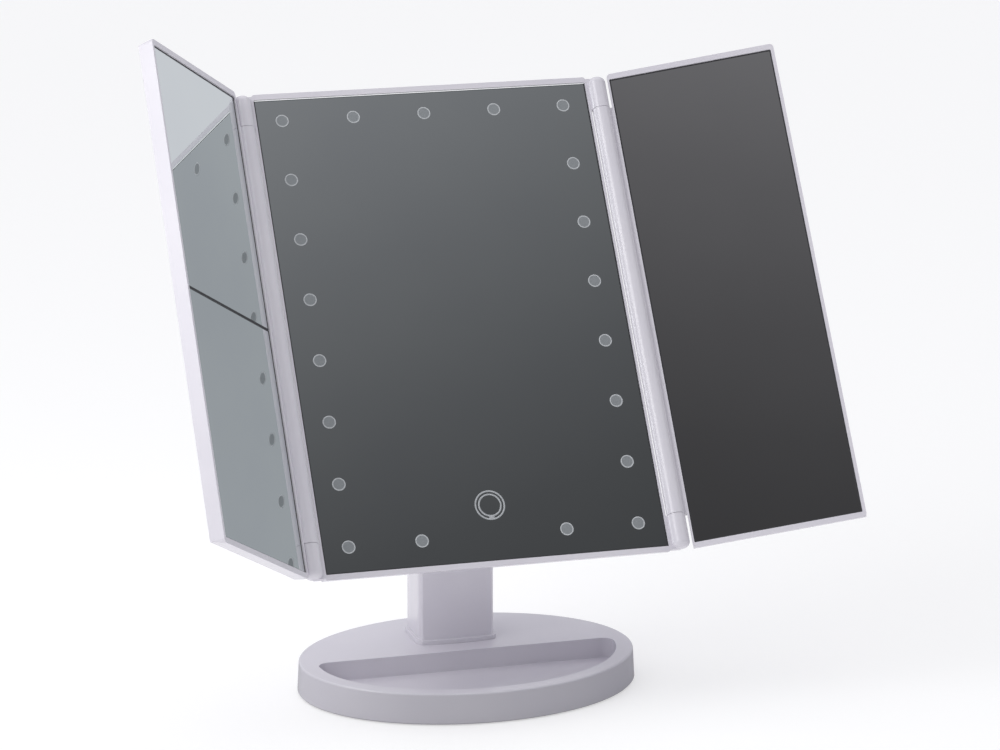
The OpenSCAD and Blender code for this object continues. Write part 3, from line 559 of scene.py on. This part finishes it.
class VANITY_OT_glass_edges(bpy.types.Operator):
    """Painted shade: a dark band round each glass, standing in for the shadow in the gap between the glass
    and the frame's lip
    """

    bl_idname = "vanity.glass_edges"
    bl_label = "Glass edges"

    def execute(self, context):
        edges = context.scene.vanity_edges
        ways = {"Facing": (0, 0, 1), "Up": (0, 1, 0)}
        lengths = {label: 1 * MM for label in ("Width", "Height", "Band", "Rise")}
        tree, sockets = new_tree("painted_gap_shade_band", ways | lengths)
        joined = add(tree, "GeometryNodeJoinGeometry")
        for along, across, long_axis, short_axis in (("Width", "Height", 0, 1), ("Height", "Width", 1, 0)):
            sides = {long_axis: sockets[along], short_axis: sockets["Band"], 2: sockets["Rise"]}
            size = add(tree, "ShaderNodeCombineXYZ", None, sides).outputs[0]
            bar = add(tree, "GeometryNodeMeshCube", None, {"Size": size}).outputs[0]
            for half in (-0.5, 0.5):
                reach = add(tree, "ShaderNodeMath", {"operation": "MULTIPLY", 1: half}, {0: sockets[across]})
                shift = add(tree, "ShaderNodeCombineXYZ", None, {short_axis: reach.outputs[0]})
                links = {"Geometry": bar, "Translation": shift.outputs[0]}
                moved = add(tree, "GeometryNodeTransform", None, links).outputs[0]
                tree.links.new(moved, joined.inputs[0])
        # Painted shade: the near black band stands in for the shadow in the gap between each glass and its
        # lip.
        gap_shade = gap_shade_paint("painted_gap_shade", "#2a2a2d", "#353538")
        place_on_points(tree, sockets, joined.outputs[0], gap_shade)
        for node, body, facing in GLASSES:
            middle, width, height = front_of(node, facing)
            values = {"Facing": facing, "Up": PANEL_UP, "Width": width, "Height": height}
            values |= {"Band": edges.band, "Rise": edges.rise}
            grow(node + "_edge", [middle], tree, values, body)
        return {"FINISHED"}


class VANITY_OT_top_highlight(bpy.types.Operator):
    """Painted highlight: a bright chrome bead along the top of the centre glass, standing in for the lit
    inner wall of the frame's lip and its reflection in the glass
    """

    bl_idname = "vanity.top_bead"
    bl_label = "Top bead"

    def execute(self, context):
        radius = context.scene.vanity_edges.bead
        inputs = {"Facing": (0, 0, 1), "Up": (0, 1, 0), "Width": 1 * MM, "Radius": 1 * MM}
        tree, sockets = new_tree("top_bead", inputs)
        ends = {}
        for label, half in (("Start", -0.5), ("End", 0.5)):
            reach = add(tree, "ShaderNodeMath", {"operation": "MULTIPLY", 1: half}, {0: sockets["Width"]})
            ends[label] = add(tree, "ShaderNodeCombineXYZ", None, {0: reach.outputs[0]}).outputs[0]
        line = add(tree, "GeometryNodeCurvePrimitiveLine", None, ends).outputs[0]
        steps = {"Resolution": BEAD_STEPS}
        section = {"Radius": sockets["Radius"]}
        circle = add(tree, "GeometryNodeCurvePrimitiveCircle", steps, section).outputs[0]
        sweep = {"Curve": line, "Profile Curve": circle}
        bead = add(tree, "GeometryNodeCurveToMesh", {"Fill Caps": True}, sweep).outputs[0]
        # Painted highlight: near white chrome makes the bead show as the bright line of the lit lip wall and
        # its reflection.
        highlight_metal = worked_metal("painted_highlight_bead", "#fbfbfc", "#f6f7f8", rough=0.03)
        place_on_points(tree, sockets, bead, highlight_metal)
        middle, width, height = front_of("main_mirror", PANEL_FRONT)
        top = middle + PANEL_UP * (height + radius) / 2 + PANEL_FRONT * radius / 2
        values = {"Facing": PANEL_FRONT, "Up": PANEL_UP, "Width": width, "Radius": radius}
        grow("main_mirror_painted_highlight", [top], tree, values, "panel")
        return {"FINISHED"}


def ring_shape(tree, radius, band, height):
    """A flat ring in the xy plane, radius to its outer edge."""
    half = add(tree, "ShaderNodeMath", {"operation": "MULTIPLY", 1: 0.5}, {0: band}).outputs[0]
    middle = add(tree, "ShaderNodeMath", {"operation": "SUBTRACT"}, {0: radius, 1: half}).outputs[0]
    steps = {"Resolution": RING_STEPS}
    circle = add(tree, "GeometryNodeCurvePrimitiveCircle", steps, {"Radius": middle}).outputs[0]
    size = {"Width": band, "Height": height}
    section = add(tree, "GeometryNodeCurvePrimitiveQuadrilateral", None, size).outputs[0]
    sweep = {"Curve": circle, "Profile Curve": section}
    return add(tree, "GeometryNodeCurveToMesh", None, sweep).outputs[0]


def bridge_shape(tree, sockets):
    """The short filled arc between the two rings, at their foot."""
    inner = sockets["Inner radius"]
    links = {0: sockets["Radius"], 1: sockets["Band"]}
    outer = add(tree, "ShaderNodeMath", {"operation": "SUBTRACT"}, links).outputs[0]
    width = add(tree, "ShaderNodeMath", {"operation": "SUBTRACT"}, {0: outer, 1: inner}).outputs[0]
    both = add(tree, "ShaderNodeMath", {"operation": "ADD"}, {0: outer, 1: inner}).outputs[0]
    middle = add(tree, "ShaderNodeMath", {"operation": "MULTIPLY", 1: 0.5}, {0: both}).outputs[0]
    half = add(tree, "ShaderNodeMath", {"operation": "MULTIPLY", 1: 0.5}, {0: sockets["Bridge"]}).outputs[0]
    foot = {"operation": "SUBTRACT", 0: math.radians(270)}
    start = add(tree, "ShaderNodeMath", foot, {1: half}).outputs[0]
    links = {"Radius": middle, "Start Angle": start, "Sweep Angle": sockets["Bridge"]}
    arc = add(tree, "GeometryNodeCurveArc", {"Resolution": BRIDGE_STEPS}, links).outputs[0]
    size = {"Width": width, "Height": sockets["Height"]}
    section = add(tree, "GeometryNodeCurvePrimitiveQuadrilateral", None, size).outputs[0]
    sweep = {"Curve": arc, "Profile Curve": section}
    return add(tree, "GeometryNodeCurveToMesh", {"Fill Caps": True}, sweep).outputs[0]


class VANITY_OT_windows(bpy.types.Operator):
    """Etched rims of the light windows"""

    bl_idname = "vanity.windows"
    bl_label = "Light windows"

    def execute(self, context):
        marks = context.scene.vanity_marks
        inputs = {"Facing": (0, 0, 1), "Radius": 3 * MM, "Band": 0.5 * MM, "Height": MARK_RISE}
        tree, sockets = new_tree("window_rim", inputs)
        rim = ring_shape(tree, sockets["Radius"], sockets["Band"], sockets["Height"])
        place_on_points(tree, sockets, rim, etched_glass("etched_rim", "#c0c3c6", "#b8bbbe", rough=0.5))
        values = {"Facing": PANEL_FRONT, "Radius": marks.window_radius, "Band": marks.window_band}
        centres = end_centres("light_windows", PANEL_FRONT)
        grow("window_rims", centres, tree, values, "panel")
        return {"FINISHED"}


class VANITY_OT_touch_key(bpy.types.Operator):
    """Two etched rings of the touch key, joined at the foot"""

    bl_idname = "vanity.touch_key"
    bl_label = "Touch key"

    def execute(self, context):
        marks = context.scene.vanity_marks
        inputs = {"Facing": (0, 0, 1), "Radius": 7 * MM, "Inner radius": 5.5 * MM, "Band": 0.8 * MM}
        inputs |= {"Height": MARK_RISE, "Bridge": math.radians(24)}
        tree, sockets = new_tree("touch_marks", inputs)
        joined = add(tree, "GeometryNodeJoinGeometry")
        for label in ("Radius", "Inner radius"):
            ring = ring_shape(tree, sockets[label], sockets["Band"], sockets["Height"])
            tree.links.new(ring, joined.inputs[0])
        tree.links.new(bridge_shape(tree, sockets), joined.inputs[0])
        etched = etched_glass("etched_key", "#b4b7ba", "#abaeb1", rough=0.5)
        place_on_points(tree, sockets, joined.outputs[0], etched)
        values = {"Facing": PANEL_FRONT, "Radius": marks.key_radius}
        values |= {"Inner radius": marks.key_inner, "Band": marks.key_band}
        centres = end_centres("touch_ring", PANEL_FRONT)
        grow("touch_key_rings", centres, tree, values, "panel")
        return {"FINISHED"}


class VANITY_OT_screw_heads(bpy.types.Operator):
    """Domed cross-recess heads on the screws that show"""

    bl_idname = "vanity.screw_heads"
    bl_label = "Screw heads"

    def execute(self, context):
        screws = context.scene.vanity_screws
        inputs = {"Facing": (0, 0, 1), "Radius": SMALL_HEAD, "Dome": 0.4 * MM, "Slot": 0.5 * MM, "Seed": 4}
        tree, sockets = new_tree("cross_recess_head", inputs)
        ball = add(tree, "GeometryNodeMeshUVSphere", {"Segments": 24, "Rings": 12, "Radius": 1}).outputs[0]
        half_axes = {0: sockets["Radius"], 1: sockets["Radius"], 2: sockets["Dome"]}
        size = add(tree, "ShaderNodeCombineXYZ", None, half_axes).outputs[0]
        dome = add(tree, "GeometryNodeTransform", None, {"Geometry": ball, "Scale": size}).outputs[0]
        times = {"operation": "MULTIPLY"}
        length = add(tree, "ShaderNodeMath", times | {1: CROSS_LENGTH}, {0: sockets["Radius"]})
        depth = add(tree, "ShaderNodeMath", times | {1: CROSS_DEPTH}, {0: sockets["Dome"]})
        cut = add(tree, "GeometryNodeMeshBoolean", {"operation": "DIFFERENCE", "solver": "EXACT"}, {0: dome})
        for long_axis, short_axis in ((0, 1), (1, 0)):
            sides = {long_axis: length.outputs[0], short_axis: sockets["Slot"], 2: depth.outputs[0]}
            size = add(tree, "ShaderNodeCombineXYZ", None, sides).outputs[0]
            arm = add(tree, "GeometryNodeMeshCube", None, {"Size": size}).outputs[0]
            tree.links.new(arm, cut.inputs[1])
        any_turn = {"data_type": "FLOAT_VECTOR", 0: (0, 0, -math.pi), 1: (0, 0, math.pi)}
        spin = add(tree, "FunctionNodeRandomValue", any_turn, {"Seed": sockets["Seed"]}).outputs[0]
        turn = add(tree, "FunctionNodeEulerToRotation", None, {0: spin}).outputs[0]
        zinc = worked_metal("zinc_screw_head", "#b9bbc0", "#a6a8ad", rough=0.3)
        place_on_points(tree, sockets, cut.outputs[0], zinc, turn)
        for node, body, facing, radius in SCREW_SETS:
            values = {"Facing": facing, "Radius": radius, "Dome": screws.dome, "Slot": screws.slot}
            grow(node + "_heads", end_centres(node, facing), tree, values, body)
        return {"FINISHED"}


class VANITY_OT_fittings(bpy.types.Operator):
    """Steel, rubber, boards, leads and batteries"""

    bl_idname = "vanity.fittings"
    bl_label = "Fittings"

    def execute(self, context):
        screws = ["base_screws", "neck_screws", "neck_cover_screws", "pivot_plate_screws", "housing_screws"]
        screws += ["left_wing_screws", "right_wing_screws"]
        dress(worked_metal("zinc_plated_screw", "#b9bbc0", "#a6a8ad", rough=0.3), *screws)
        turned = ["pivot_bush", "pivot_pin", "left_hinge_pins", "right_hinge_pins", "usb_socket"]
        dress(worked_metal("turned_steel", "#c4c5c9", "#b5b6ba", rough=0.22), *turned)
        rolled = worked_metal("rolled_zinc_plate", "#9a9ca0", "#8b8d92", rough=0.4, grain_size=2 * MM)
        dress(rolled, "base_weight", "pivot_plate")
        dress(soft_rubber("black_rubber", "#1c1c1d", "#262627"), "anti_slip_pad", "friction_washers")
        foam = soft_rubber("foam_tape", "#8a8b8e", "#7e7f82", rough=0.95)
        dress(foam, "left_wing_tape", "right_wing_tape")
        boards = ["touch_board", "top_light_board", "left_light_board", "right_light_board"]
        boards += ["bottom_light_board", "control_board"]
        dress(solder_mask("green_solder_mask", "#1d5a33", "#2f7a48"), *boards)
        dress(satin_plastic("phosphor_cap", "#efe6a8", "#e6dc98", rough=0.4), "light_chips")
        dress(satin_plastic("red_pvc_lead", "#8f2320", "#7d1c1a", rough=0.4), "lead_wires")
        dress(printed_sleeve("battery_sleeve", "#2f343e", "#3b414c"), "batteries")
        dress(worked_metal("stamped_brass", "#d0a766", "#bd9352", rough=0.3), "battery_contacts")
        return {"FINISHED"}


# ---------- studio ----------


def new_plane(name, size):
    """A square on the table plane, centred under the base."""
    mesh = bpy.data.meshes.new(name)
    half = size / 2
    corners = [(-half, -half, 0), (half, -half, 0), (half, half, 0), (-half, half, 0)]
    mesh.from_pydata(corners, [], [(0, 1, 2, 3)])
    plane = bpy.data.objects.new(name, mesh)
    bpy.context.scene.collection.objects.link(plane)
    return plane


def soft_light(name, place, size, power):
    """A square soft box at a place, turned to the middle of the object."""
    data = bpy.data.lights.new(name, "AREA")
    data.size = size
    data.energy = power
    light = bpy.data.objects.new(name, data)
    light.location = place
    light.rotation_mode = "QUATERNION"
    light.rotation_quaternion = (LIT_POINT - Vector(place)).to_track_quat("-Z", "Y")
    bpy.context.scene.collection.objects.link(light)


def room_side(tree, height, room):
    """The greys of one side of the room over a height from 0 straight down to 1 straight up."""
    node = add(tree, "ShaderNodeValToRGB", None, {0: height})
    stops = node.color_ramp.elements
    stops.remove(stops[1])
    for number, (elevation, radiance) in enumerate(room):
        position = (math.sin(math.radians(elevation)) + 1) / 2
        stop = stops.new(position) if number else stops[0]
        stop.position = position
        tint = LAMP_TINT if radiance > LAMP_RADIANCE else ROOM_TINT
        stop.color = (*(share * radiance for share in tint), 1)
    return node.outputs[0]


def room_world():
    """A soft room round the object: bright above, and dark in front over the user."""
    world = bpy.data.worlds.new("studio_world")
    world.use_nodes = True
    tree = world.node_tree
    tree.nodes.clear()
    look = add(tree, "ShaderNodeTexCoord").outputs["Generated"]
    rise = add(tree, "ShaderNodeSeparateXYZ", None, {0: look}).outputs["Z"]
    height = add(tree, "ShaderNodeMapRange", {"From Min": -1, "From Max": 1}, {"Value": rise}).outputs[0]
    level = {"operation": "MULTIPLY", 1: (1, 1, 0)}
    flat = add(tree, "ShaderNodeVectorMath", level, {0: look}).outputs[0]
    around = add(tree, "ShaderNodeVectorMath", {"operation": "NORMALIZE"}, {0: flat}).outputs[0]
    ahead = {"operation": "DOT_PRODUCT", 1: FRONT_WAY}
    front = add(tree, "ShaderNodeVectorMath", ahead, {0: around}).outputs["Value"]
    edges = {"From Min": FRONT_SHARE[0], "From Max": FRONT_SHARE[1]}
    share = add(tree, "ShaderNodeMapRange", edges, {"Value": front}).outputs[0]
    sides = {MIX_FIRST: room_side(tree, height, ROOM), MIX_SECOND: room_side(tree, height, ROOM_FRONT)}
    room = add(tree, "ShaderNodeMix", {"data_type": "RGBA"}, {MIX_SHARE: share} | sides).outputs[MIX_RESULT]
    back = add(tree, "ShaderNodeBackground", {"Strength": 1}, {"Color": room}).outputs[0]
    add(tree, "ShaderNodeOutputWorld", None, {"Surface": back})
    return world


class VANITY_OT_studio(bpy.types.Operator):
    """Pale floor, soft light and a room that is dark in front"""

    bl_idname = "vanity.studio"
    bl_label = "Studio"

    def execute(self, context):
        scene = context.scene
        studio = scene.vanity_studio
        floor = new_plane("studio_floor", studio.floor_size)
        sweep = {"Roughness": 0.9, "Base Color": linear(studio.floor_colour)}
        sweep |= {"Emission Color": (1, 1, 1, 1), "Emission Strength": studio.glow}
        floor.data.materials.append(new_material("white_sweep", sweep)[0])
        # The low wall of the base stands in its own soft shadow, so the sweep's glow is kept off it.
        shaded = bpy.data.collections.new("shaded_from_sweep")
        shaded.objects.link(NODES["base_shell"])
        shaded.collection_objects[0].light_linking.link_state = "EXCLUDE"
        floor.light_linking.receiver_collection = shaded
        scene.world = room_world()
        soft_light("key_light", studio.key_place, studio.key_size, studio.key_power)
        soft_light("fill_light", studio.fill_place, studio.fill_size, studio.fill_power)
        scene.view_settings.view_transform = "Standard"
        return {"FINISHED"}


# ---------- the add-on ----------

OPERATORS = (
    VANITY_OT_camera,
    VANITY_OT_housings,
    VANITY_OT_glass,
    VANITY_OT_glass_edges,
    VANITY_OT_top_highlight,
    VANITY_OT_windows,
    VANITY_OT_touch_key,
    VANITY_OT_screw_heads,
    VANITY_OT_fittings,
    VANITY_OT_studio,
)
GROUPS = (
    ("vanity_plastic", MirrorPlastic),
    ("vanity_glass", MirrorGlass),
    ("vanity_edges", MirrorEdges),
    ("vanity_marks", MirrorMarks),
    ("vanity_screws", MirrorScrews),
    ("vanity_studio", MirrorStudio),
)


class VANITY_PT_panel(bpy.types.Panel):
    """Lists the sizes, the colours and the steps"""

    bl_idname = "VANITY_PT_panel"
    bl_label = "Vanity mirror"
    bl_space_type = "VIEW_3D"
    bl_region_type = "UI"
    bl_category = "Vanity mirror"

    def draw(self, context):
        for name, group in GROUPS:
            box = self.layout.box()
            for key in group.__annotations__:
                box.prop(getattr(context.scene, name), key)
        for operator in OPERATORS:
            self.layout.operator(operator.bl_idname)


CLASSES = tuple(group for _, group in GROUPS) + OPERATORS + (VANITY_PT_panel,)


def register():
    for cls in CLASSES:
        bpy.utils.register_class(cls)
    for name, group in GROUPS:
        setattr(bpy.types.Scene, name, PointerProperty(type=group))


def unregister():
    for name, _ in GROUPS:
        delattr(bpy.types.Scene, name)
    for cls in reversed(CLASSES):
        bpy.utils.unregister_class(cls)


def main():
    register()
    bpy.ops.vanity.camera()
    bpy.ops.vanity.housings()
    bpy.ops.vanity.glass()
    bpy.ops.vanity.glass_edges()
    bpy.ops.vanity.top_bead()
    bpy.ops.vanity.windows()
    bpy.ops.vanity.touch_key()
    bpy.ops.vanity.screw_heads()
    bpy.ops.vanity.fittings()
    bpy.ops.vanity.studio()


if __name__ == "__main__":
    main()
